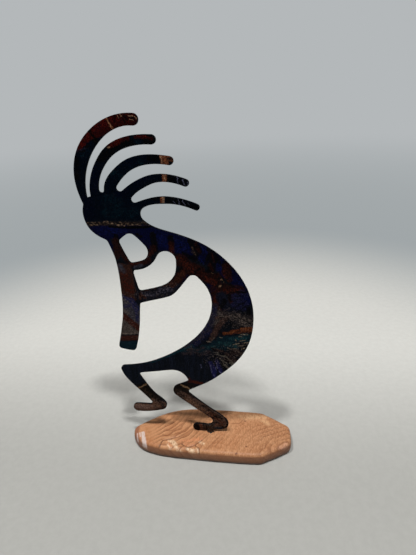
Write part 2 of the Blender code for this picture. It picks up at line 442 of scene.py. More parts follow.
def buildPlate():
    low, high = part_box("figure")
    rings = [smoothRing(r, plateShape["outlineStep"]) for r in turned(faceOutlines("figure", 1, low.y))]
    edge = plateShape["edgeRound"]
    half = (high.y - low.y) / 2
    rounds = [(edge * (1 - math.sin(a)), half - edge * (1 - math.cos(a)))
              for a in np.radians([0, 30, 60, 90])]
    wall = [(0.0, half * level) for level in plateShape["wallLevels"]]
    steps = rounds + wall + [(inset, -height) for inset, height in reversed(rounds)]

    def nearWeld(points):
        return distanceTo(points, crustLine()) < weldCrust["reach"]

    grids = [
        (plateShape["gridStep"], lambda points: ~nearWeld(points)),
        (plateShape["weldGridStep"], nearWeld),
    ]
    plate = sheetSolid("cutSteelPlate", rings, steps, grids, placeUpright)
    places = meshPlaces(plate) - [0, plateMiddle(), 0]
    flat = places[:, [0, 2]]
    bend = noiseAt(places * [1, 0, 1], plateShape["warpLength"], 1, 2) * plateShape["warp"]
    face = np.clip((np.abs(places[:, 1]) - half + edge) / edge, 0, 1)
    marks = noiseAt(places, plateShape["torchMarkLength"], 2) * plateShape["torchMarks"] * face
    front = np.sign(places[:, 1])
    upright = np.clip((flat[:, 1] - low.z) / plateShape["warpFullFrom"], 0, 1)
    places[:, 1] += bend * upright + marks * front
    # the cut's ripple runs through the thickness, so it changes little along Y
    ripple = noiseAt(places * [1, 0.15, 1], plateShape["cutRippleLength"], 3, 2) * plateShape["cutRipple"]
    side = (1 - face)[:, None] * meshNormals(plate) * [1, 0, 1]
    places += side * ripple[:, None]
    places[:, 1] -= weldLumps(flat, face * (front < 0))
    setPlaces(plate, places + [0, plateMiddle(), 0])
    return plate


def weldLumps(flat, share):
    # how far the weld's spatter stands out from the front face
    random.seed(weldCrust["seed"])
    line = [Vector(p) for p in crustLine()]
    reach = weldCrust["reach"]
    rise = np.zeros(len(flat))
    for number in range(weldCrust["lumps"]):
        piece = random.randrange(len(line) - 1)
        middle = line[piece].lerp(line[piece + 1], random.random())
        angle = random.uniform(0, math.tau)
        out = random.random() ** weldCrust["crowding"] * reach * weldCrust["spread"]
        centre = np.array([middle.x + math.cos(angle) * out, middle.y + math.sin(angle) * out])
        radius = random.uniform(*weldCrust["lumpRadius"]) * mm
        height = random.uniform(*weldCrust["lumpHeight"]) * mm
        near = 1 - np.sum((flat - centre) ** 2, axis=1) / radius**2
        rise = np.maximum(rise, height * np.sqrt(np.clip(near, 0, 1)))
    away = distanceTo(flat, crustLine()) / (reach * weldCrust["fadeWidth"])
    return rise * share * np.clip(weldCrust["fadeEnd"] - away, 0, 1)


plateFinish = {
    "under": tone(12, 16, 23),
    "metallic": 0.0,
    "specular": 0.015,
    "roughness": (0.30, 0.52),
    "bumpHeight": 0.12 * mm,
    "bumpStrength": 0.6,
    "shift": (-0.33, 0.75),
    "raggedness": 3.4,
    "grainShade": (0.45, 1.75),
    "hipStreaks": (-78, 84, -4, 92, 16),
    "hipFeather": 8.0,
    "hipTone": tone(22, 27, 42),
    "hipShare": 0.5,
    "edgeDepth": (0.8, 0.95),
    "edgeFromHeight": (12.0, 20.0),
    "cutEdge": tone(10, 11, 13),
    "cutEdgeLight": tone(20, 22, 26),
    "backDark": tone(16, 17, 24),
    "backWarm": tone(36, 24, 20),
    "backShade": 0.55,
    "dust": tone(104, 90, 84),
    "dustShares": (0.42, 0.03),
    "pit": tone(5, 5, 7),
    "pitShares": (0.62, 0.25),
    "speckFeather": 2.5,
}

# The broken tan line across the head and the black one under it. A stroke is (across, up) to
# (across, up) and its half width.
headLine = {
    "band": (-90, 223.0, -36, 222.8, 1.6),
    "bandFeather": 0.5,
    "brown": tone(32, 23, 20),
    "bitTone": tone(112, 92, 76),
    "marks": [
        (-74.7, 224.7, -71.5, 224.5, 0.6), (-65.6, 221.7, -58.9, 221.5, 0.75), (-43, 225, -39.7, 223.4, 0.8),
        (-54.3, 222.3, -46.5, 222, 0.45), (-85.7, 222.4, -80.3, 222, 0.4), (-69.3, 223.3, -67.8, 222.6, 0.45),
    ],
    "markFeather": 0.25,
    "markTone": tone(124, 102, 84),
    "blackLine": [
        (-71, 220.6, -57, 219.9, 0.85), (-57, 219.9, -42, 220.1, 1.05), (-42, 220.1, -33, 221.2, 0.7),
    ],
    "blackFeather": 0.35,
    "black": tone(3, 3, 5),
}

# Each area of colour: tone, feather of its edge, how mottled it is, and its strokes, painted in order.
colourAreas = {
    "tealHead": (tone(1, 7, 18), 0.8, 0.0, [(-150, 330, 50, 330, 104.5)]),
    "tealPatches": (tone(3, 19, 28), 1.6, 0.95, [
        (-69, 240.8, -62, 240.7, 5), (-72, 231.5, -50, 231.3, 4), (-63, 262, -56, 258, 3),
        (-83.4, 274.6, -77.9, 275.9, 2), (-43, 282.7, -39.5, 281.7, 1.2), (-48, 266, -40, 268, 2),
    ]),
    "navyHead": (tone(1, 5, 20), 2.0, 0.6, [
        (-85.5, 241, -86.6, 230.1, 5), (-77.1, 267.4, -79.3, 250, 3), (-52, 269, -46, 268, 3),
        (-45, 255, -38, 258, 2.6), (-72, 262, -76, 255, 3), (-60, 246, -54, 250, 3),
    ]),
    "blackHead": (tone(4, 4, 5), 1.2, 0.4, [
        (-70, 272, -62, 277, 3.4), (-60, 279, -46, 282, 2.4), (-34, 283, -28, 283, 4),
        (-34, 271, -28, 271, 2.4), (-76, 290, -71, 283, 2.0), (-21, 257, -18, 257, 3),
        (-36, 243, -31, 243, 2), (-88, 272, -90, 258, 2), (-22, 241, -14, 239, 2.6), (-13, 238, -2, 234, 3),
        (-17, 257, -6, 252, 3.2),
    ]),
    "redPlume": (tone(42, 7, 5), 0.5, 0.35, [
        (-86, 280.5, -82, 285, 3.4), (-79, 287.5, -66, 295, 4.6), (-70, 291, -56, 296, 5.2),
        (-56, 297, -42, 298, 5.4), (-61.5, 280.7, -55.3, 283.4, 2.3), (-55.2, 284, -48.8, 285.6, 1.9),
        (-42.5, 285.9, -35.4, 285.4, 1.0), (-35.4, 285.4, -31, 284.2, 0.9),
    ]),
    "redPlumeBright": (tone(60, 10, 7), 1.2, 0.9, [
        (-84, 281, -76, 288, 2.5), (-70, 293, -63, 296, 3), (-57, 298, -50, 299.5, 2),
        (-60, 281.6, -54, 284, 1.3), (-41, 286, -35, 285.4, 0.6),
    ]),
    "plumeStreak": (tone(8, 5, 5), 0.6, 0.3, [
        (-75.5, 291.5, -71.5, 284.5, 0.8), (-50.5, 300.5, -49, 295, 0.5), (-55, 300.4, -56.2, 295.3, 0.4),
        (-48.6, 299.6, -47, 297.6, 0.9), (-44.6, 298.8, -42.2, 297.9, 0.6), (-84, 277, -77, 281, 0.8),
    ]),
    "slateRim": (tone(30, 32, 48), 0.6, 0.6, [(-81, 289.5, -77, 292, 0.6), (-88, 277.4, -80, 279, 0.4)]),
    "copper": (tone(112, 64, 40), 0.4, 0.35, [
        (-61.8, 298.3, -59.9, 295.2, 0.6), (-59.9, 295.2, -58.1, 291.7, 0.75),
        (-25.3, 274, -25.3, 266, 1.0), (-23, 273, -22, 268, 1.8), (-20, 271, -18.5, 270, 1.6),
        (-24.2, 260, -24.2, 254.5, 1.8), (-27.8, 244.5, -27.8, 239.5, 1.0),
    ]),
    "tanMarks": (tone(132, 102, 80), 0.35, 0.5, [
        (-26.6, 244.5, -26.6, 239.5, 1.1), (-61.6, 298.6, -58.4, 292, 0.25),
        (-63.8, 279.6, -61.7, 279.5, 0.3), (-51.6, 301.4, -50.2, 299.6, 0.35),
        (-45.9, 299.8, -42.8, 299.2, 0.3), (-41.8, 298.9, -40.5, 297.9, 0.3),
        (-44.8, 297, -43.1, 297.2, 0.3), (-53.4, 300.6, -52.8, 298.8, 0.2), (-25.6, 272, -25.2, 268, 0.5),
        (-24.4, 259, -24.0, 256, 0.7),
    ]),
    "tipShade": (tone(24, 18, 18), 0.6, 0.6, [
        (-20.6, 270.5, -18, 270.6, 1.1), (-19.4, 268.4, -18.1, 267.8, 0.7), (-22.2, 258.6, -22, 255.4, 0.5),
    ]),
    "violetTicks": (tone(76, 78, 98), 0.3, 0.3, [
        (-15.1, 257.3, -14.5, 253.6, 0.3), (-11.1, 255.8, -9.6, 251.8, 0.35), (-8, 254.1, -7.3, 252, 0.3),
        (-15.7, 241.4, -14.2, 237.8, 0.32), (-12.2, 240.1, -10.3, 237.1, 0.3),
        (-8.1, 238.6, -7.6, 237, 0.25), (-18.6, 239.5, -17.8, 238, 0.22),
    ]),
    "indigo": (tone(5, 8, 38), 0.8, 0.1, [
        (-79, 216.5, -42, 215.5, 5.4), (-84, 218, -76, 214, 3.5), (-44, 213, -12, 206, 9),
        (-12, 203, 2, 199, 7.5), (-75, 211, -72, 201, 2.2), (-43, 210, -41.5, 203, 2.6),
        (2, 199, 14, 190, 6.5), (14, 190, 19, 183, 5.5), (24, 180, 30, 171, 5.0), (33, 168, 36, 158, 5),
        (5.6, 172, 8.2, 167.6, 2.6), (-13, 179.5, -17, 174, 1.2),
    ]),
    "indigoLight": (tone(9, 15, 54), 1.2, 0.9, [
        (-30, 210, -14, 203, 5), (-3.3, 195.1, 2.4, 190.5, 1.7), (-1.6, 202.8, 4.1, 200.1, 1.4),
        (24.5, 176, 31.1, 173.1, 1.8), (-78, 217, -60, 217, 3), (32, 164, 35, 158, 2.6),
        (12, 190, 16, 185, 2.2),
    ]),
    "neckShade": (tone(6, 5, 8), 0.6, 0.15, [
        (-37.2, 213.8, -36.6, 202, 2.5), (-23.4, 211.5, -23.3, 205, 2.4), (-7, 209, -3.5, 201, 3.8),
        (-3.5, 201, -5.5, 194, 2.4), (8, 202, 9.4, 194, 3.8), (9.4, 194, 7, 184, 3.4),
        (19.6, 191, 20.6, 181, 2.8), (-50, 214.5, -47, 212.5, 1.2), (-67, 213.5, -66, 208, 1.8),
        (13.5, 196, 14, 190, 1.0), (-14, 198.4, -8, 195, 1.6), (11.3, 180.2, 9.8, 175.8, 2.0),
        (3.4, 182.3, -2, 181.5, 1.6), (-44, 204, -42, 200, 1.2), (16.2, 188.9, 17.3, 181.7, 1.4),
        (20, 194, 24, 190, 2.0),
    ]),
    "rustMouthpiece": (tone(34, 15, 13), 0.8, 0.4, [
        (-67.9, 209, -68.3, 196, 2.6), (-66, 204, -60.5, 192, 2.4), (-57, 189.5, -44, 193, 3.4),
        (-46, 192, -40, 200, 2.4), (-39.6, 204, -38.6, 199, 1.3),
    ]),
    "rustFlute": (tone(50, 29, 23), 0.7, 0.3, [(-66, 183, -63, 161, 7), (-60, 187, -59, 170, 2.2)]),
    "rustBack": (tone(34, 13, 10), 1.0, 0.35, [
        (-23.4, 206.5, -23.2, 199, 2.2), (-17.4, 192.9, -7.3, 183.4, 5.3), (-18.6, 194.4, -12, 190, 2.4),
        (-7.1, 187.3, -1.9, 184.4, 3.6), (-2.1, 180.1, 11.1, 172.8, 3.8), (-14, 184, -20, 176, 4.0),
        (1, 178, 12, 178, 3.6), (11, 169.9, 29.7, 167.1, 3.8), (18, 187.5, 21.8, 175.9, 2.4),
        (8.5, 168, 9.8, 150, 3.0), (11, 149, 18, 146, 2.4), (23, 166, 22, 156, 2.0),
        (-5, 211, -3, 208.5, 1.2), (-4.4, 206, -1.6, 200, 1.0), (-37, 204, -36.4, 201.4, 1.4),
        (8, 199, 9.6, 192, 0.7), (19.6, 189, 21.4, 182, 1.8), (6, 189, 8, 184, 1.2),
    ]),
    "rustGlow": (tone(56, 21, 14), 1.0, 0.9, [
        (-23.3, 204, -23.3, 200, 1.4), (-13.7, 188, -3.3, 182.2, 2.8), (0.5, 178.6, 9.7, 172.8, 2.4),
        (16.7, 183.2, 20.5, 175.9, 1.6), (10.9, 167.6, 18.9, 165.5, 2.0), (21.7, 167.8, 31, 166.4, 1.5),
        (-18.6, 194.4, -9.6, 189.4, 1.8), (-64, 180, -62, 165, 4), (-62, 202, -60, 194, 1.6),
        (-57, 190, -50, 191, 1.6), (-43, 198, -40, 200, 1.2), (9, 160, 10, 152, 1.6),
        (-16, 183, -20, 178, 2.0),
    ]),
    "slateBack": (tone(18, 20, 34), 1.0, 0.5, [
        (14, 161, 18, 151, 4.4), (18.6, 147, 26, 146, 2.6), (9, 147, 12, 144, 2.4),
    ]),
    "violetBack": (tone(26, 26, 54), 1.0, 0.65, [
        (25, 160.5, 33.5, 154, 3.6), (25, 153, 32, 150.5, 3.0), (31, 165.5, 35, 162.5, 2.4),
        (4.5, 165, 6, 158, 1.2),
    ]),
    "darkSlits": (tone(6, 6, 8), 0.6, 0.35, [
        (-6, 183, -2, 185.4, 1.2), (3, 190, 5, 196, 1.4), (-17, 186.4, -19, 182.4, 1.2),
        (-9, 180, -4, 181.6, 0.7), (17, 157, 14.6, 152, 2.0), (24.1, 150.1, 35, 157.4, 0.6),
        (25.4, 145, 35, 153, 0.6), (27, 165, 35, 165.2, 1.1), (21, 163, 22, 158, 1.2),
        (36, 150, 38, 142, 1.6), (28, 187, 31, 182, 1.6), (-60, 191, -70, 191.2, 0.5),
        (12.2, 176.6, 15.9, 177.6, 0.9), (15.9, 177.6, 17.3, 173.7, 0.9), (12.7, 173.6, 11.4, 170.6, 0.9),
        (15.9, 171.4, 14.7, 168.8, 0.9), (20.8, 171.8, 25, 170, 0.9),
    ]),
    "neckFlecks": (tone(66, 52, 45), 0.5, 0.8, [
        (-7.2, 203.3, -6.2, 201.6, 0.6), (-6, 200.1, -4.6, 197.4, 0.7), (-8.2, 200, -7.7, 199.3, 0.5),
    ]),
    "dottedGlints": (tone(124, 95, 74), 0.4, 0.2, [
        (13.7, 170.6, 13.7, 170.2, 1.05), (16.3, 175.8, 16.7, 173.9, 0.35), (7.1, 182.2, 8.4, 181.6, 0.3),
        (14.4, 176.2, 15.2, 176.6, 0.3),
    ]),
    "greyPatch": (tone(50, 50, 60), 0.9, 0.5, [
        (-67.1, 187.6, -64.7, 183, 1.9), (-69.5, 185, -69, 182, 1.2), (-54.4, 186.3, -49, 188.2, 1.2),
    ]),
    "armSlate": (tone(22, 22, 31), 1.0, 0.35, [
        (-54, 160.5, -30, 164.5, 4.4), (-29, 165, -22, 170, 2.6),
    ]),
    "armLight": (tone(60, 57, 70), 0.8, 0.9, [
        (-38.3, 163.8, -26.5, 167.2, 1.7), (-51, 161.6, -42.1, 161.4, 1.6), (-36, 167, -32, 168.6, 0.8),
    ]),
    "armRust": (tone(52, 27, 19), 0.7, 0.4, [
        (-51.6, 165.6, -40.3, 167.6, 0.9), (-33, 170.6, -25, 174, 1.6), (-26, 170, -16, 181, 2.2),
        (-53.3, 163, -53.7, 157.5, 1.0), (-53, 161.4, -49.6, 159, 1.5),
    ]),
    "flutePale": (tone(56, 53, 60), 1.0, 0.3, [
        (-70, 157, -62, 152, 4.2), (-67, 148, -59, 138, 4.0), (-60, 150, -57, 134, 3.2),
    ]),
    "fluteIndigo": (tone(26, 28, 62), 0.9, 0.45, [
        (-62, 156, -57.5, 148, 2.6), (-58.5, 148, -58.5, 137, 1.6), (-69, 160, -64, 157, 1.6),
        (-68, 150, -64, 151, 1.4),
    ]),
    "fluteTaupe": (tone(72, 64, 60), 0.7, 0.3, [
        (-72, 133, -67, 126, 4.4), (-76, 124, -61, 124.5, 2.2), (-66, 128, -63, 125.5, 2.0),
        (-70, 147, -66, 143, 1.4),
    ]),
    "fluteStripe": (tone(58, 27, 20), 0.5, 0.25, [
        (-72.5, 143, -59, 129.5, 2.4), (-71.5, 139, -58, 126.5, 1.1),
    ]),
    "fluteLine": (tone(96, 84, 78), 0.3, 0.35, [(-78, 122.2, -59, 123, 0.4)]),
    "fluteRed": (tone(52, 26, 21), 0.4, 0.15, [(-79, 117.4, -59, 118.8, 2.5)]),
    "fluteTeal": (tone(12, 31, 40), 0.5, 0.15, [(-82, 109, -58, 110.5, 5.0)]),
    "chestViolet": (tone(36, 34, 48), 1.0, 0.5, [
        (9, 152, 6, 140, 2.6), (6, 142, 1, 130, 4), (1, 130, -10, 117, 4.6), (-8, 119, -16, 111, 2.6),
    ]),
    "chestIndigo": (tone(20, 22, 48), 1.0, 0.9, [
        (2, 133, -9, 121, 2.6), (5, 128, -2, 120, 2.2), (8, 150, 9, 143, 1.6), (-6, 116, -12, 112, 2.2),
    ]),
    "greyBack": (tone(43, 38, 39), 1.0, 0.55, [
        (15, 143.5, 38, 140, 4.2), (26.7, 136.5, 38, 135.5, 3.2), (12, 146, 16, 145, 2.4),
    ]),
    "taupeBand": (tone(60, 42, 37), 1.0, 0.45, [
        (18, 141.2, 11.9, 133.8, 2.4), (11.9, 133.8, 7, 124, 2.6), (7, 124, 3.8, 118, 1.5),
        (10, 140, 13, 142, 1.6),
    ]),
    "backPale": (tone(78, 69, 65), 0.9, 0.9, [
        (12, 144, 17, 142.5, 1.8), (27, 142, 36, 137, 3.4), (30, 137, 36, 134, 2.0), (11, 139, 8, 134, 1.4),
        (20, 144, 26, 143, 1.4),
    ]),
    "backDark": (tone(13, 12, 14), 0.7, 0.5, [
        (19, 140.4, 26.7, 133, 0.6), (19.3, 134.6, 30.9, 131.9, 0.8), (30.9, 140.8, 38.2, 135.5, 0.5),
        (23, 146.6, 27, 142.6, 0.9), (16, 131, 17.6, 134, 0.7), (12, 128, 15, 123.4, 1.2),
        (10, 121, 12.6, 120.6, 0.8),
    ]),
    "paleLip": (tone(100, 88, 80), 0.4, 0.4, [(0.9, 116.8, 4.3, 116.3, 0.5), (5, 117.6, 7.4, 121, 0.4)]),
    "tealBelt": (tone(10, 31, 40), 0.9, 0.3, [
        (12.2, 118.7, 36, 121, 3.4), (6.3, 114.2, 17.9, 114.6, 3.3), (-2.6, 110, 9.1, 110.5, 3.2),
        (-14.6, 107.3, -2.8, 107.2, 2.6), (17.9, 113.8, 26.5, 112.6, 3.0),
        (-22.1, 106.4, -11.5, 108.8, 2.0), (12, 110, 24, 110, 2.4), (34, 124, 37, 120, 3),
    ]),
    "tealGlow": (tone(26, 54, 58), 0.7, 0.9, [
        (22, 120.4, 34, 121, 1.6), (12, 115.6, 26, 113.6, 2.2), (30, 124.6, 37, 124, 1.2),
        (2, 111, 10, 112, 1.2),
    ]),
    "orangeWedge": (tone(84, 42, 22), 0.5, 0.2, [
        (15.9, 125.3, 22.4, 126.2, 1.3), (22.4, 126.9, 30.8, 128.7, 2.1), (30.8, 128.7, 40, 129.8, 2.8),
    ]),
    "orangeGlow": (tone(108, 62, 36), 0.5, 0.7, [(17, 125.6, 24, 127.2, 0.7), (30, 130.6, 38, 131.8, 0.8)]),
    "orangeShade": (tone(36, 22, 20), 0.5, 0.6, [(23.4, 125.6, 29.4, 128.1, 0.6), (31, 127, 38, 127.4, 0.8)]),
    "tanFlecks": (tone(122, 108, 90), 0.3, 0.45, [
        (25, 119.5, 26, 117.9, 0.4), (28.6, 122.6, 31, 122.3, 0.35), (30, 124.6, 36, 124.8, 0.4),
        (23.6, 114.4, 28.6, 116, 0.4), (29.4, 118.4, 34.4, 119.3, 0.35), (27.9, 113, 33.5, 113.7, 0.5),
        (22.8, 109.9, 26.4, 110, 0.4), (30.8, 110.2, 33.2, 111, 0.35), (26.8, 108.6, 30.6, 104.2, 0.5),
        (18.6, 110.6, 20.4, 110, 0.35), (12, 121.6, 14, 121, 0.3), (33, 116.4, 36.4, 117, 0.35),
    ]),
    "hipBrown": (tone(44, 32, 29), 0.9, 0.5, [
        (6, 109, 14, 107, 1.4), (17.7, 104.2, 23.4, 101.7, 2.0), (22.8, 106.1, 31.2, 104.7, 2.3),
        (21, 109, 29, 107.4, 1.4), (22, 100, 26, 97, 2.2), (17, 99, 22, 96, 2.0),
    ]),
    "hipBlack": (tone(6, 7, 8), 0.5, 0.3, [
        (7.4, 102, 14.6, 96.9, 0.9), (16.1, 98.8, 23.3, 91, 0.9), (13, 95, 15.8, 87.9, 0.9),
        (5, 110, 8, 107, 0.7), (10, 105.6, 17, 102.6, 0.6), (18, 108.4, 24, 106.4, 0.6),
        (24, 102.8, 30, 101.6, 0.6),
    ]),
    "hipGrey": (tone(84, 78, 70), 0.4, 0.4, [
        (8.9, 103.8, 17.6, 100.6, 0.6), (16.2, 102.3, 23.4, 94.6, 0.6), (11.7, 99.5, 15.9, 92.4, 0.5),
        (15.9, 92.4, 19.6, 88, 1.2), (20.4, 94.9, 24, 93.4, 1.1), (6, 105.6, 11, 105, 0.35),
        (14, 97.6, 18, 93.6, 0.4),
    ]),
    "violetStrokes": (tone(25, 26, 66), 0.6, 0.12, [
        (2.9, 94.6, 6.6, 79.1, 1.8), (8.7, 96.2, 12.2, 85, 1.6), (5.8, 92, 8, 84, 0.7),
    ]),
    "violetLight": (tone(84, 84, 118), 0.3, 0.3, [
        (2.8, 91.9, 4, 83.6, 0.35), (8.6, 94.9, 9.1, 88.5, 0.32), (11, 85.2, 12.4, 83.4, 0.35),
        (5.9, 81.2, 6.6, 79, 0.35), (-5.9, 91.5, -5.4, 88.6, 0.35), (7.2, 90, 7.8, 86, 0.25),
    ]),
    "hipFlecks": (tone(44, 36, 38), 0.8, 0.9, [
        (-20.8, 103, -8.8, 105.1, 1.6), (-8.7, 107, -2.6, 110.4, 1.4), (-18, 109, -10, 106, 2.4),
        (-6, 103, 2, 106, 2.0),
    ]),
    "bellyRim": (tone(13, 46, 56), 0.6, 0.4, [
        (-74.4, 88.8, -49, 93.2, 0.9), (-49, 93.2, -23.6, 106.0, 0.9), (-23.6, 106.0, -12, 112.4, 0.8),
    ]),
    "darkRed": (tone(58, 21, 10), 0.8, 0.3, [
        (-17.6, 73.1, -10, 71.7, 1.8), (-10, 71.6, -6, 71, 1.4), (-17, 76, -16, 74, 1.0),
    ]),
    "blackKnees": (tone(17, 13, 11), 0.9, 0.2, [
        (-64, 60, -52, 50, 7), (-30, 66, -22, 58, 7), (-22, 70, -14, 67, 2.6), (-60, 65, -56, 58, 4),
    ]),
    "kneeBrown": (tone(44, 33, 25), 0.8, 0.85, [
        (-29, 61, -24, 56, 3.0), (-62, 61, -58, 57, 2.6), (-56, 55, -52, 51, 2.4), (-20, 62, -17, 58, 1.4),
    ]),
    "tanLines": (tone(112, 88, 66), 0.35, 0.3, [
        (-65.9, 62.4, -58.6, 67.2, 0.75), (-25.5, 68.4, -17.6, 64, 0.85),
    ]),
    "bareSteel": (tone(74, 54, 45), 1.0, 0.1, [
        (-26, 53, -4, 38, 7), (-4, 38, 8, 28, 8), (-72, 40, -50, 40, 8), (-53, 45, -46, 42, 5.4),
        (8, 26, 14, 18, 8), (-14, 18, 12, 16, 8),
    ]),
    "shinShade": (tone(26, 18, 15), 0.7, 0.7, [
        (-29, 58, -24, 52, 2.6), (-7, 45, -3, 41, 1.2), (-3, 42, 10, 31, 1.4), (-45.6, 44, -43.6, 39, 2.2),
        (-52, 36.9, -43, 39, 1.2), (-14, 39.6, -9, 37, 0.8), (-21, 60, -15, 54, 1.4),
        (-50, 50, -46, 45, 2.0), (-9, 41, 1, 33, 0.5), (-26, 50, -16, 42, 0.5), (-2, 40, 5, 38, 0.6),
    ]),
    "shinWarm": (tone(98, 70, 54), 0.9, 0.8, [
        (-21, 52, -12, 45, 2.2), (-12, 43.6, -6, 39, 2.0), (-70, 42, -56, 40, 2.6), (-52, 44, -48, 41, 1.8),
        (-2, 36, 3, 32, 1.4),
    ]),
    "footPale": (tone(110, 86, 78), 0.8, 0.7, [(-70, 40, -60, 39.4, 2.4), (-60, 41.4, -55, 41, 1.0)]),
    "weldBlack": (tone(6, 5, 6), 0.6, 0.15, [
        (-15, 20, -13.8, 16.4, 4.0), (-6.4, 22, -6.2, 16, 0.7), (-3.7, 21.6, -3.9, 14, 1.0),
        (-2, 30, 2.6, 26.4, 1.0), (3, 23.6, 8, 24, 1.3), (4.4, 32.6, 7, 31.4, 1.3),
        (3, 29.4, 4.6, 32.4, 1.1), (0, 19, 3, 15, 1.4), (-6, 44.4, -3.4, 43.6, 0.9),
        (14.4, 30.6, 16.2, 27.6, 0.9), (16.2, 27.6, 17.2, 24, 0.9), (17.2, 24, 15.4, 18.6, 1.1),
        (10.6, 20, 14, 17.6, 1.2), (1.6, 21.4, 2.8, 21.2, 0.8), (10, 32, 12, 29, 0.7),
    ]),
    "weldRust": (tone(70, 38, 26), 0.6, 0.5, [
        (-9.2, 21, -8.6, 16, 1.2), (0.2, 37, 5.4, 33.8, 1.0), (-0.4, 22, -0.2, 19, 1.0),
        (5, 29.4, 9.4, 27.6, 1.2), (6, 21.6, 12, 22, 1.2), (9.4, 26, 13, 25, 1.0),
        (-0.4, 34.6, 2.4, 32.6, 0.9),
    ]),
    # teal patches low on the weld, and painted highlights along the upper edges of the foot and ankle
    "weldTealAndHighlight": (tone(13, 34, 46), 0.5, 0.2, [
        (4.4, 17.2, 10.6, 17.2, 1.4), (-13, 23, -8, 23.4, 0.5), (8, 36.4, 12.4, 33.2, 0.6),
    ]),
}

# Where the pale dust and the dark pits are strongest. Elsewhere both are faint.
dustPlaces = [
    (15, 143, 36, 135, 9), (9, 146, -16, 112, 6), (-54, 161, -24, 168, 5), (-68, 156, -62, 126, 9),
    (8, 100, 30, 106, 12), (-70, 40, -46, 44, 8), (-26, 52, 10, 22, 9), (-69, 185, -67, 182, 4),
]
pitPlaces = [
    (-18, 188, 28, 167, 9), (14, 164, 32, 150, 9), (-64, 60, -52, 50, 7), (-64, 205, -40, 200, 6),
    (-12, 206, 22, 184, 9), (20, 140, 34, 134, 9), (-26, 52, 12, 20, 8), (-54, 161, -18, 180, 6),
    (8, 100, 30, 104, 12),
]


def plateStrokes(tree, place, strokes, feather):
    # the strongest of the strokes, each with a feather no wider than itself
    return largest(tree, [
        stroke(tree, place, (x0, 0, z0), (x1, 0, z1), width, min(feather, width))
        for x0, z0, x1, z1, width in strokes
    ])


def paintAreas(tree, place):
    # paints every area over the one before it, with ragged edges and mottling
    shift = wander(tree, place, 0.42, 0.65, plateFinish["raggedness"])
    ragged = stretched(tree, vectorMaths(tree, "ADD", place, shift), (1, 0, 1))
    coarse = span(tree, speckle(tree, place, 0.55, 4.0, 0.7, 0.4), 0.42, 0.58)
    colour = plateFinish["under"]
    for shade, feather, mottle, strokes in colourAreas.values():
        mask = plateStrokes(tree, ragged, strokes, feather)
        if mottle:
            mask = product(tree, mask, span(tree, coarse, 0.0, 1.0, 1 - mottle, 1.0))
        colour = blend(tree, mask, colour, shade)
    return colour


def paintHeadLine(tree, place, colour):
    place = stretched(tree, place, (1, 0, 1))
    band = plateStrokes(tree, place, [headLine["band"]], headLine["bandFeather"])
    broad = speckle(tree, stretched(tree, place, (0.3, 0, 0.5)), 1.0, 2.0)
    bits = speckle(tree, stretched(tree, place, (0.4, 0, 0.85)), 1.0, 3.0, 0.8)
    colour = laid(tree, colour, headLine["brown"], band, span(tree, broad, 0.38, 0.58, 0.1, 0.85))
    colour = laid(tree, colour, headLine["bitTone"], band, span(tree, bits, 0.55, 0.62))
    marks = plateStrokes(tree, place, headLine["marks"], headLine["markFeather"])
    colour = laid(tree, colour, headLine["markTone"], marks, span(tree, bits, 0.46, 0.57))
    black = plateStrokes(tree, place, headLine["blackLine"], headLine["blackFeather"])
    return laid(tree, colour, headLine["black"], black)


def dustAndPits(tree, place, colour):
    # pale specks and dark pits, a millimetre or so across; the shares are most and least
    specks = speckle(tree, stretched(tree, place, (1, 0.5, 1)), 0.85, 2.0, 0.7)
    dusty = plateStrokes(tree, place, dustPlaces, plateFinish["speckFeather"])
    pitted = plateStrokes(tree, place, pitPlaces, plateFinish["speckFeather"])
    dust = maths(tree, "MULTIPLY_ADD", dusty, *plateFinish["dustShares"])
    pits = maths(tree, "MULTIPLY_ADD", pitted, *plateFinish["pitShares"])
    colour = laid(tree, colour, plateFinish["dust"], span(tree, specks, 0.56, 0.66), dust)
    return laid(tree, colour, plateFinish["pit"], span(tree, specks, 0.37, 0.46, 1.0, 0.0), pits)


def plateMaterial():
    material, tree, shader, place = newMaterial("heatTonedPaint")
    across, up = plateFinish["shift"]
    place = vectorMaths(tree, "SUBTRACT", place, (across, plateMiddle() / mm, up))
    colour = paintHeadLine(tree, place, paintAreas(tree, place))
    streaks = speckle(tree, stretched(tree, place, (0.55, 0.55, 0.05)), 1.0)
    hips = plateStrokes(tree, place, [plateFinish["hipStreaks"]], plateFinish["hipFeather"])
    lines = span(tree, streaks, 0.42, 0.62)
    colour = laid(tree, colour, plateFinish["hipTone"], hips, lines, plateFinish["hipShare"])
    colour = dustAndPits(tree, place, colour)
    fine = speckle(tree, place, 1.1, 3.0, 0.7)
    colour = shadedBy(tree, colour, span(tree, fine, 0.34, 0.68, *plateFinish["grainShade"]))
    parts = axes(tree, place)
    onEdge = span(tree, maths(tree, "ABSOLUTE", parts["Y"]), *plateFinish["edgeDepth"], 1.0, 0.0)
    aboveFoot = span(tree, parts["Z"], *plateFinish["edgeFromHeight"])
    edgeTone = blend(tree, span(tree, fine, 0.35, 0.65), plateFinish["cutEdge"], plateFinish["cutEdgeLight"])
    colour = laid(tree, colour, edgeTone, onEdge, aboveFoot)
    behind = span(tree, parts["Y"], *plateFinish["edgeDepth"], 0.0, plateFinish["backShade"])
    backTone = blend(tree, span(tree, streaks, 0.4, 0.6), plateFinish["backDark"], plateFinish["backWarm"])
    colour = laid(tree, colour, backTone, behind)
    roughness = span(tree, speckle(tree, place, 0.25), 0.3, 0.7, *plateFinish["roughness"])
    setSurface(tree, shader, colour, roughness, plateFinish["specular"], plateFinish["metallic"])
    height = maths(tree, "ADD", product(tree, fine, 0.6), product(tree, streaks, 0.2))
    addBump(tree, shader, height, plateFinish["bumpHeight"], plateFinish["bumpStrength"])
    return material


plate = buildPlate()
finish(plate, plateMaterial(), "figure")
print("plate", len(plate.data.polygons))


# The welded rod in front of the standing foot. Its finish's heights are in millimetres.

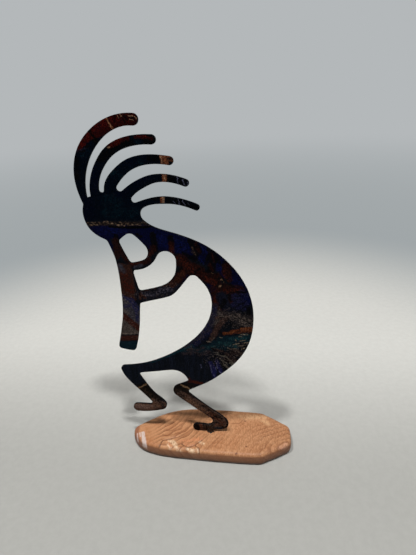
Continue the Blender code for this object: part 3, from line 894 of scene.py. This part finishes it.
rodShape = {
    "sides": 32,
    "taper": 0.9,
    "voxel": 0.28 * mm,
    "smoothing": 3,
    "lumps": 26,
    "lumpRadius": (0.7, 1.4),
    "lumpStand": (0.0, 1.6),
    "lumpSpread": 0.8,
    "lumpEnds": (0.6, 0.5),
    "roughness": 0.16 * mm,
    "roughnessLength": 1.1 * mm,
    "seed": 21,
}

rodFinish = {
    "dark": tone(10, 8, 8),
    "brown": tone(50, 31, 23),
    "glint": tone(92, 112, 118),
    "glintShare": 0.8,
    "glintHeight": (13.4, 15.4),
    "roughness": (0.35, 0.62),
    "specular": 0.25,
    "metallic": 0.2,
    "bumpHeight": 0.25 * mm,
}


def buildRod():
    low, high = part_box("mounting_pin")
    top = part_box("base")[1].z
    middle = (low.x + high.x) / 2
    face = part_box("figure")[0].y
    radius = (high.y - low.y) / 2
    bm = bmesh.new()
    turn = Matrix.Translation((middle, (low.y + high.y) / 2, (low.z + high.z) / 2))
    bmesh.ops.create_cone(bm, cap_ends=True, segments=rodShape["sides"], radius1=radius,
                          radius2=radius * rodShape["taper"], depth=high.z - low.z, matrix=turn)
    lowEnd, highEnd = rodShape["lumpEnds"]
    random.seed(rodShape["seed"])
    for number in range(rodShape["lumps"]):
        size = random.uniform(*rodShape["lumpRadius"]) * mm
        across = random.uniform(-1, 1) * (high.x - low.x) / 2 * rodShape["lumpSpread"]
        up = random.uniform(top + size * lowEnd, high.z - size * highEnd)
        out = face - random.uniform(*rodShape["lumpStand"]) * mm * (1 - abs(across) / (high.x - low.x))
        bmesh.ops.create_icosphere(bm, subdivisions=3, radius=size,
                                   matrix=Matrix.Translation((middle + across, out, up)))
    mesh = bpy.data.meshes.new("weldedRod")
    bm.to_mesh(mesh)
    bm.free()
    rod = bpy.data.objects.new("weldedRod", mesh)
    bpy.context.scene.collection.objects.link(rod)
    remesh = rod.modifiers.new("voxels", "REMESH")
    remesh.mode = "VOXEL"
    remesh.voxel_size = rodShape["voxel"]
    soften = rod.modifiers.new("soften", "SMOOTH")
    soften.iterations = rodShape["smoothing"]
    rod.data = bpy.data.meshes.new_from_object(rod.evaluated_get(bpy.context.evaluated_depsgraph_get()))
    rod.modifiers.clear()
    places = meshPlaces(rod)
    rough = noiseAt(places, rodShape["roughnessLength"], 4) * rodShape["roughness"]
    setPlaces(rod, places + meshNormals(rod) * rough[:, None])
    rod.data.shade_smooth()
    return rod


def rodMaterial():
    material, tree, shader, place = newMaterial("blackenedWeld")
    patches = speckle(tree, place, 0.6, 4.0, 0.7)
    colour = blend(tree, span(tree, patches, 0.42, 0.58), rodFinish["dark"], rodFinish["brown"])
    # painted highlight: a pale teal-grey glint in noisy spots near the rod's bottom, just above the slab
    foot = span(tree, axes(tree, place)["Z"], *rodFinish["glintHeight"], 1.0, 0.0)
    noiseValues = span(tree, patches, 0.40, 0.52)
    colour = laid(tree, colour, rodFinish["glint"], foot, noiseValues, rodFinish["glintShare"])
    roughness = span(tree, patches, 0.35, 0.65, *rodFinish["roughness"])
    setSurface(tree, shader, colour, roughness, rodFinish["specular"], rodFinish["metallic"])
    addBump(tree, shader, speckle(tree, place, 2.2, 4.0, 0.7), rodFinish["bumpHeight"])
    return material


rod = buildRod()
finish(rod, rodMaterial(), "mounting_pin")
print("rod", len(rod.data.polygons))


# The wooden slab. Places are in millimetres on its top: across, from front to back.

slabShape = {
    "outlineStep": 0.9 * mm,
    "gridStep": 2.0 * mm,
    "fineGridStep": 0.55 * mm,
    "fineGridReach": 2.2 * mm,
    "cornerGap": 0.05 * mm,
    "wallShares": (0.25, 0.5, 0.75),
    "topRound": 3.8 * mm,
    "bottomInset": 3.2 * mm,
    "bottomRise": 4.2 * mm,
    "lengthToDepth": 2.2,
    "sideWaves": 0.35 * mm,
    "sideWaveLength": 16 * mm,
    "sideWaveFade": 6 * mm,
    "topWaves": 0.18 * mm,
    "topWaveLength": 22 * mm,
    "topDrop": 0.1 * mm,
    "topFrom": 0.6,
}

woodMarks = {
    "cracks": [
        [(-46, -23.2), (-45, -17.5), (-43.5, -16), (-39.4, -14.6), (-33.1, -12.2), (-29.2, -10.2)],
        [
            (-25.6, -19.4), (-23.5, -20.9), (-20, -22.5), (-16.2, -21.4), (-13.5, -20.2), (-10.3, -16.8),
            (-7.1, -13.6),
        ],
        [(-13.5, -20.2), (-10.3, -21.4), (-8.7, -23.6), (-8, -27)],
    ],
    "darkRings": [
        [(-43.2, -4.1), (-37.6, -3.2), (-33.1, 0.9), (-28.5, 6.8)],
        [(-46, -9.5), (-41.2, -10.5), (-35.3, -8.2), (-30.3, -5.9), (-25.8, -2.3), (-21.7, 1.8), (-19.4, 5)],
        [(-29.2, -10.2), (-25.8, -7.7), (-22.1, -4.6), (-19, -0.5)],
        [(-7.1, -13.6), (-4.4, -10), (-1.5, -6)],
        [(-2, -24.8), (0.4, -20.5), (5.2, -13.8), (9, -8)],
        [(6, -20), (9, -14.6), (13, -9.6)],
        [(20.5, 9.7), (27.2, 10.1), (29.3, 12.5), (32.2, 16.6)],
        [(58, -24), (63.2, -19.8), (65.2, -14.8), (70.2, -10.2), (74.5, -9.4)],
        [(66, -20.6), (71, -18.8), (74.6, -14)],
    ],
    "crackWidth": 0.5,
    "crackDepth": 0.8 * mm,
    "hollows": [(-32.5, -17.5, 4.2), (-15.5, -23.4, 3.2), (-8.4, -17.2, 2.6)],
    "hollowDepth": 0.5 * mm,
    "knots": [(33.2, 13.6), (35.1, -18.0), (26.2, -26.2)],
}


def buildSlab():
    low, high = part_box("base")
    corners = [v.co.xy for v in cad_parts["base"].data.vertices]
    hull = np.array([corners[i] for i in convex_hull_2d(corners)])
    apart = np.linalg.norm(np.roll(hull, -1, 0) - hull, axis=1)
    ring = smoothRing(turned([hull[apart > slabShape["cornerGap"]]])[0], slabShape["outlineStep"])
    top, inset, rise = slabShape["topRound"], slabShape["bottomInset"], slabShape["bottomRise"]
    angles = np.radians([0, 15, 30, 45, 60, 75, 90])
    steps = [(top * (1 - math.sin(a)), high.z - top * (1 - math.cos(a))) for a in angles]
    upper, lower = high.z - top, low.z + rise
    steps += [(0.0, upper + (lower - upper) * share) for share in slabShape["wallShares"]]
    steps += [(inset * (1 - math.cos(a)), low.z + rise * (1 - math.sin(a))) for a in angles]
    marks = [[(x * mm, y * mm) for x, y in crack] for crack in woodMarks["cracks"]]

    def nearMarks(points):
        near = np.zeros(len(points), bool)
        for crack in marks:
            near |= distanceTo(points, crack) < slabShape["fineGridReach"]
        return near

    grids = [
        (slabShape["gridStep"], lambda points: ~nearMarks(points)),
        (slabShape["fineGridStep"], nearMarks),
    ]
    slab = sheetSolid("woodenSlab", [ring], steps, grids, lambda points: points)
    places = meshPlaces(slab)
    flat = places[:, :2]
    height = (places[:, 2] - low.z) / (high.z - low.z)
    # the sides wave in and out as on an ellipse of the slab's proportions, less towards the underside
    proportions = [slabShape["lengthToDepth"], 1]
    out = flat / np.linalg.norm(flat / proportions, axis=1)[:, None].clip(1e-6)
    rim = np.clip(distanceTo(flat, list(ring) + [ring[0]]) / slabShape["sideWaveFade"], 0, 1)
    waves = noiseAt(places * [1, 1, 1.4], slabShape["sideWaveLength"], 5, 2) * slabShape["sideWaves"]
    places[:, :2] += out / proportions * (waves * (1 - rim))[:, None] * np.clip(height * 3, 0, 1)[:, None]
    topWaves = noiseAt(places * [1, 1, 0], slabShape["topWaveLength"], 6, 2) * slabShape["topWaves"]
    onTop = np.clip((height - slabShape["topFrom"]) / (1 - slabShape["topFrom"]), 0, 1)
    places[:, 2] += (topWaves - slabShape["topDrop"]) * onTop
    for x, y, size in woodMarks["hollows"]:
        near = np.linalg.norm(flat - np.array([x, y]) * mm, axis=1) / (size * mm)
        places[:, 2] -= woodMarks["hollowDepth"] * np.exp(-near**2) * onTop
    for crack in marks:
        near = distanceTo(flat, crack) / (woodMarks["crackWidth"] * mm)
        places[:, 2] -= woodMarks["crackDepth"] * np.exp(-near**2) * onTop
    setPlaces(slab, places)
    return slab


slabFinish = {
    "light": tone(216, 160, 116),
    "middle": tone(196, 138, 97),
    "dark": tone(134, 82, 51),
    "streak": tone(190, 126, 84),
    "streakShare": 0.5,
    "rightEnd": tone(172, 120, 84),
    "rightEndShare": 0.4,
    "poreDark": tone(150, 97, 62),
    "poreDarkShare": 0.31,
    "poreLight": tone(238, 188, 146),
    "poreLightShare": 0.27,
    # painted shade: the slab's sides are darker than its top, and darker still towards the underside
    "side": tone(122, 76, 52),
    "sideShare": 0.72,
    "under": tone(66, 40, 28),
    "underShare": 0.65,
    "knot": tone(104, 52, 34),
    "knotShare": 0.9,
    "knotSize": 0.4,
    "crack": tone(74, 42, 28),
    "topHeights": (8.0, 11.0),
    "sapHeights": (4.0, 9.0),
    "sideHeights": (9.5, 12.2),
    "underHeights": (1.0, 9.0),
    "ringStep": 5.2,
    "ringCurve": 2.4,
    "ringEnd": 0.94,
    "fineRings": 2.7,
    "fineRingShare": 0.15,
    "heart": (-56.6, 24.9),
    "bendStart": -46.0,
    "bend": 0.9,
    "eye": (69.3, -15.2),
    "eyeFrom": (18.0, 50.0),
    "eyeStart": 128.0,
    "eyeTurn": -35,
    "eyeStretch": (0.6, 1.15, 0),
    "wobbles": ((0.035, 14.0), (0.16, 3.0), (0.7, 0.9)),
    "ringKnot": (31, 16, 33, 12, 0.0),
    "ringKnotReach": 9.0,
    "ringKnotPull": -4.0,
    "leftFade": (-58.0, -46.0, 0.25, 1.0),
    "middleFade": (-18.0, 4.0, 1.0, 0.32),
    "rightReturn": (36.0, 58.0, 0.0, 0.5),
    "backFade": (6.0, 14.0, 1.0, 0.45),
    "raggedness": 4.5,
    "lineRaggedness": 0.4,
    "shift": (-0.35, -0.9),
    "specular": 0.35,
    "roughness": (0.42, 0.6),
    "bumpHeight": 0.10 * mm,
    "bumpStrength": 0.7,
}

# Patches on the slab's top, painted in order: tone, feather, share, and the strokes, each
# (across, back) to (across, back) and its half width.
slabPatches = {
    "amber": (tone(176, 110, 66), 2.6, 0.5, [
        (-61, -14, -54, -26, 3.4), (-52, -21, -46.5, -26, 2.6), (-64, -2, -60, -8, 2.0),
    ]),
    "warm": (tone(230, 154, 110), 1.6, 0.65, [
        (-26.6, -16.6, -8, -12, 1.9), (-21.6, -19.3, -14, -18.6, 1.2), (-40, -17, -36, -22, 1.6),
    ]),
    "pale": (tone(232, 186, 142), 2.4, 0.75, [
        (36, 19.3, 52, 20, 3.0), (28, 20, 34, 16, 1.6), (50, 16, 56, 12, 2.0),
    ]),
    "rose": (tone(228, 176, 150), 1.4, 0.8, [(66.6, -17.2, 72.2, -12.8, 1.6)]),
    # pale cream patches in the wood, and a painted highlight along the top's front rim
    "creamAndRimHighlight": (tone(248, 218, 182), 1.1, 0.88, [
        (-38.6, -16.4, -34.5, -17.4, 1.2), (-34.5, -16.8, -31.4, -21, 2.0), (-31.2, -21, -28.2, -27, 1.4),
        (-39, -20, -36, -24.4, 0.8), (-19.4, -24, -14, -25.2, 1.4), (-15.6, -25.4, -12, -28.2, 1.1),
        (-8.6, -15.6, -5.2, -17.6, 1.2), (-10.4, -23.8, -8.6, -28, 0.6), (-33, -27.2, -20, -29.2, 0.5),
        (-26, -26, -22, -28.4, 0.8), (-46, -25, -42, -26, 0.4),
    ]),
}

# The left end's dark rim and the pale sapwood inside it: tone, feather, share and strokes.
leftEnd = {
    "rim": (tone(146, 92, 72), 1.0, 0.7, [
        (-73.5, 1, -72.6, -6, 2.0), (-72.6, -6, -70.6, -14, 1.8), (-70.6, -14, -66, -23, 2.2),
        (-66, -23, -58, -30, 1.8), (-73, 2, -67, 9, 0.8),
    ]),
    "sapwood": (tone(228, 210, 204), 0.6, (0.45, 0.5), [
        (-66, -8.4, -63.8, -14.6, 1.7), (-63.8, -14.6, -61, -21.8, 1.9), (-61, -21.8, -58.2, -27.2, 1.9),
        (-71.4, -9.5, -69.4, -16.5, 0.6), (-69.4, -16.5, -65.8, -23.6, 0.6),
        (-65.8, -23.6, -61.2, -29.2, 0.6), (-69, -8.6, -67.4, -13, 0.5),
    ]),
}

# The drawn lines: tone, half width, feather and share.
drawnLines = {
    "darkRings": (slabFinish["dark"], 0.4, 1.0, 0.75),
    "cracks": (slabFinish["crack"], woodMarks["crackWidth"], 0.5, 0.68),
}


def slabStrokes(tree, place, strokes, feather):
    return largest(tree, [
        stroke(tree, place, (x0, y0, 0), (x1, y1, 0), width, feather) for x0, y0, x1, y1, width in strokes
    ])


def mixed(tree, share, a, b):
    return maths(tree, "MULTIPLY_ADD", share, maths(tree, "SUBTRACT", b, a), a)


def ringField(tree, place, parts):
    # a height map whose contour lines are the grain: rings about a heart, an eye at the right end and noise
    flat = stretched(tree, place, (1, 1, 0.35))
    level = stretched(tree, place, (1, 1, 0))
    leftOf = maths(tree, "MAXIMUM", maths(tree, "SUBTRACT", slabFinish["bendStart"], parts["X"]), 0.0)
    fromHeart = vectorMaths(tree, "SUBTRACT", level, (*slabFinish["heart"], 0))
    field = maths(tree, "MULTIPLY_ADD", leftOf, -slabFinish["bend"], vectorMeasure(tree, "LENGTH", fromHeart))
    eye = vectorMaths(tree, "SUBTRACT", level, (*slabFinish["eye"], 0))
    turn = {"Vector": eye, "Angle": math.radians(slabFinish["eyeTurn"])}
    eye = addNode(tree, "ShaderNodeVectorRotate", {"rotation_type": "Z_AXIS"}, turn).outputs[0]
    eye = vectorMeasure(tree, "LENGTH", stretched(tree, eye, slabFinish["eyeStretch"]))
    eye = maths(tree, "SUBTRACT", slabFinish["eyeStart"], eye)
    field = mixed(tree, span(tree, parts["X"], *slabFinish["eyeFrom"]), field, eye)
    for scale, amount in slabFinish["wobbles"]:
        field = maths(tree, "MULTIPLY_ADD", speckle(tree, flat, scale, 2.0, 0.5), amount, field)
    knot = slabStrokes(tree, level, [slabFinish["ringKnot"]], slabFinish["ringKnotReach"])
    field = maths(tree, "MULTIPLY_ADD", knot, slabFinish["ringKnotPull"], field)
    return maths(tree, "MULTIPLY_ADD", parts["Z"], 0.5, field)


def grainStrength(tree, place, parts):
    # the rings are strong at the left, faint in the middle and at the back, and show again at the right
    strength = span(tree, speckle(tree, place, 0.06, 2.0), 0.36, 0.60, 0.6, 1.0)
    fades = span(tree, parts["X"], *slabFinish["middleFade"])
    fades = maths(tree, "ADD", fades, span(tree, parts["X"], *slabFinish["rightReturn"]))
    atLeftEnd = span(tree, parts["X"], *slabFinish["leftFade"])
    atBack = span(tree, parts["Y"], *slabFinish["backFade"])
    return product(tree, strength, product(tree, fades, atLeftEnd, atBack))


def grainColour(tree, place, parts, pores):
    # the wood's own colour, and where its dark ring lines are
    turns = maths(tree, "DIVIDE", ringField(tree, place, parts), slabFinish["ringStep"])
    rise = maths(tree, "FRACT", turns)
    late = maths(tree, "POWER", rise, slabFinish["ringCurve"])
    late = product(tree, late, span(tree, rise, slabFinish["ringEnd"], 1.0, 1.0, 0.0))
    waves = maths(tree, "SINE", product(tree, turns, math.tau * slabFinish["fineRings"]))
    thin = maths(tree, "POWER", maths(tree, "MULTIPLY_ADD", waves, 0.5, 0.5), 4.0)
    sharp = maths(tree, "MULTIPLY_ADD", thin, slabFinish["fineRingShare"], late)
    strength = grainStrength(tree, place, parts)
    ringLines = product(tree, sharp, strength)
    half = maths(tree, "MULTIPLY_ADD", maths(tree, "SUBTRACT", rise, 0.5), strength, 0.5)
    colour = blend(tree, half, slabFinish["light"], slabFinish["middle"])
    streak = span(tree, speckle(tree, place, 0.07), 0.4, 0.65, 0.0, slabFinish["streakShare"])
    colour = blend(tree, streak, colour, slabFinish["streak"])
    rightEnd = span(tree, parts["X"], 8.0, 60.0, 0.0, slabFinish["rightEndShare"])
    colour = blend(tree, rightEnd, colour, slabFinish["rightEnd"])
    colour = blend(tree, ringLines, colour, slabFinish["dark"])
    mottle = span(tree, parts["X"], -26.0, 6.0, 0.35, 1.0)
    darker = span(tree, pores, 0.50, 0.60, 0.0, slabFinish["poreDarkShare"])
    colour = laid(tree, colour, slabFinish["poreDark"], darker, mottle)
    lighter = span(tree, pores, 0.40, 0.49, slabFinish["poreLightShare"], 0.0)
    return laid(tree, colour, slabFinish["poreLight"], lighter, mottle), ringLines


def paintPatches(tree, place, parts, colour):
    # the top's patches, painted shade on the sides and towards the underside, the left end, and the drawn
    # rings, cracks and knots
    shift = wander(tree, place, 0.45, 0.7, slabFinish["raggedness"])
    ragged = stretched(tree, vectorMaths(tree, "ADD", place, shift), (1, 1, 0))
    shift = scaled(tree, shift, slabFinish["lineRaggedness"])
    loose = stretched(tree, vectorMaths(tree, "ADD", place, shift), (1, 1, 0))
    onTop = span(tree, parts["Z"], *slabFinish["topHeights"])
    fibres = speckle(tree, stretched(tree, place, (0.9, 0.25, 0.4)), 1.0)
    fibres = span(tree, fibres, 0.40, 0.54, 0.1, 1.0)
    for shade, feather, share, strokes in slabPatches.values():
        colour = laid(tree, colour, shade, slabStrokes(tree, ragged, strokes, feather), onTop, fibres, share)
    # painted shade: the sides are darkened, and more so towards the underside
    for name in ("side", "under"):
        paintedShade = span(tree, parts["Z"], *slabFinish[name + "Heights"], 1.0, 0.0)
        colour = laid(tree, colour, slabFinish[name], paintedShade, slabFinish[name + "Share"])
    shade, feather, share, strokes = leftEnd["rim"]
    colour = laid(tree, colour, shade, slabStrokes(tree, loose, strokes, feather), share)
    shade, feather, share, strokes = leftEnd["sapwood"]
    sap = slabStrokes(tree, loose, strokes, feather)
    strands = span(tree, speckle(tree, stretched(tree, place, (1.2, 0.35, 0.4)), 1.0, 2.0), 0.36, 0.56)
    strands = maths(tree, "MULTIPLY_ADD", strands, *share)
    colour = laid(tree, colour, shade, sap, span(tree, parts["Z"], *slabFinish["sapHeights"]), strands)
    for name, (shade, width, feather, share) in drawnLines.items():
        strokes = [(*a, *b, width) for line in woodMarks[name] for a, b in zip(line[:-1], line[1:])]
        colour = laid(tree, colour, shade, slabStrokes(tree, loose, strokes, feather), onTop, share)
    size = slabFinish["knotSize"]
    knots = [(x - size, y, x + size, y, 0.6) for x, y in woodMarks["knots"]]
    knots = slabStrokes(tree, loose, knots, 0.5)
    return laid(tree, colour, slabFinish["knot"], knots, slabFinish["knotShare"])


def woodMaterial():
    material, tree, shader, place = newMaterial("oiledWood")
    place = vectorMaths(tree, "SUBTRACT", place, (*slabFinish["shift"], 0))
    parts = axes(tree, place)
    pores = speckle(tree, stretched(tree, place, (0.95, 0.36, 0.8)), 1.0, 3.0, 0.7)
    colour, ringLines = grainColour(tree, place, parts, pores)
    colour = paintPatches(tree, place, parts, colour)
    roughness = span(tree, pores, 0.3, 0.7, *slabFinish["roughness"])
    setSurface(tree, shader, colour, roughness, slabFinish["specular"])
    height = maths(tree, "ADD", product(tree, ringLines, 0.4), product(tree, pores, 0.5))
    addBump(tree, shader, height, slabFinish["bumpHeight"], slabFinish["bumpStrength"])
    return material


slab = buildSlab()
finish(slab, woodMaterial(), "base")
print("slab", len(slab.data.polygons))


# Floor, light and camera.

studio = {
    # painted light: the floor's tone rises from near to far, brighter towards the back
    "floorNear": tone(187, 188, 185),
    "floorFar": tone(229, 230, 227),
    "floorRise": (-0.055, 0.19),
    "floorSize": 12.0,
    "floorBlend": (0.30, 0.70),
    "floorGrain": (0.965, 1.02),
    "floorGrainScale": 160.0,
    "backdropLow": tone(160, 166, 168),
    "backdrop": tone(180, 184, 186),
    "backdropRise": (0.5, 3.0),
    "roomTone": tone(255, 252, 246),
    "roomLight": 0.178,
    "lampTone": (1.0, 0.985, 0.96),
    "lampAim": (0, 0, 60 * mm),
    "lamps": {
        "rightLamp": {
            "place": (375 * mm, -650 * mm, 2400 * mm), "size": (190 * mm, 130 * mm), "power": 4.35,
        },
        "leftLamp": {
            "place": (-160 * mm, -215 * mm, 900 * mm), "size": (70 * mm, 50 * mm), "power": 3.6,
        },
    },
}

cameraSetup = {
    "place": (41.29 * mm, -290.20 * mm, 313.61 * mm),
    "turn": (64.885, 2.302, 6.274),
    "lens": 25.95,
    "sensor": 36.0,
    "nearest": 0.01,
    "shift": (-0.0007, 0.0015),
}


def buildFloor():
    # the pale floor fades into the backdrop's tone, so no horizon shows
    bpy.ops.mesh.primitive_plane_add(size=studio["floorSize"], location=(0, 0, 0))
    floor = bpy.context.object
    floor.name = "floor"
    material = bpy.data.materials.new("paleFloor")
    material.use_nodes = True
    tree = material.node_tree
    shader = tree.nodes["Principled BSDF"]
    place = addNode(tree, "ShaderNodeTexCoord", {}, {}).outputs["Object"]
    away = vectorMeasure(tree, "LENGTH", place)
    share = span(tree, away, *studio["floorBlend"])
    grain = speckle(tree, place, studio["floorGrainScale"], 4.0, 0.7)
    # painted light: the floor is painted brighter from front to back
    fromFront = span(tree, axes(tree, place)["Y"], *studio["floorRise"])
    base = blend(tree, fromFront, studio["floorNear"], studio["floorFar"])
    base = shadedBy(tree, base, span(tree, grain, 0.3, 0.7, *studio["floorGrain"]))
    tree.links.new(blend(tree, share, base, (0, 0, 0, 1)), shader.inputs["Base Color"])
    shader.inputs["Roughness"].default_value = 0.9
    shader.inputs["Specular IOR Level"].default_value = 0.0
    rise = span(tree, maths(tree, "MINIMUM", away, studio["backdropRise"][1]), *studio["backdropRise"])
    backdrop = blend(tree, rise, studio["backdropLow"], studio["backdrop"])
    tree.links.new(backdrop, shader.inputs["Emission Color"])
    tree.links.new(share, shader.inputs["Emission Strength"])
    floor.data.materials.append(material)


def buildRoom():
    # the camera sees the backdrop's tone, the piece is lit by a dimmer room
    world = bpy.data.worlds.new("softRoom")
    world.use_nodes = True
    tree = world.node_tree
    seen = tree.nodes["Background"]
    seen.inputs["Color"].default_value = studio["backdrop"]
    roomLight = {"Color": studio["roomTone"], "Strength": studio["roomLight"]}
    lit = addNode(tree, "ShaderNodeBackground", {}, roomLight)
    direct = addNode(tree, "ShaderNodeLightPath", {}, {}).outputs["Is Camera Ray"]
    either = addNode(tree, "ShaderNodeMixShader", {}, {0: direct, 1: lit.outputs[0], 2: seen.outputs[0]})
    tree.links.new(either.outputs[0], tree.nodes["World Output"].inputs["Surface"])
    bpy.context.scene.world = world


def buildLamp(name, setup):
    # a small soft lamp high above, whose light doesn't fall off
    data = bpy.data.lights.new(name, "AREA")
    data.shape = "RECTANGLE"
    data.size, data.size_y = setup["size"]
    data.energy = setup["power"]
    data.color = studio["lampTone"]
    data.use_nodes = True
    tree = data.node_tree
    falloff = addNode(tree, "ShaderNodeLightFalloff", {}, {"Strength": 1.0})
    tree.links.new(falloff.outputs["Constant"], tree.nodes["Emission"].inputs["Strength"])
    light = bpy.data.objects.new(name, data)
    light.location = setup["place"]
    aim = Vector(studio["lampAim"]) - Vector(setup["place"])
    light.rotation_euler = aim.to_track_quat("-Z", "Y").to_euler()
    bpy.context.scene.collection.objects.link(light)


def buildCamera():
    data = bpy.data.cameras.new("photoView")
    data.lens = cameraSetup["lens"]
    data.sensor_width = cameraSetup["sensor"]
    data.shift_x, data.shift_y = cameraSetup["shift"]
    data.clip_start = cameraSetup["nearest"]
    camera = bpy.data.objects.new("photoView", data)
    camera.location = cameraSetup["place"]
    camera.rotation_euler = [math.radians(angle) for angle in cameraSetup["turn"]]
    bpy.context.scene.collection.objects.link(camera)
    bpy.context.scene.camera = camera


buildFloor()
buildRoom()
for lampName, lampSetup in studio["lamps"].items():
    buildLamp(lampName, lampSetup)
buildCamera()
bpy.context.scene.view_settings.view_transform = "Standard"
print("studio")
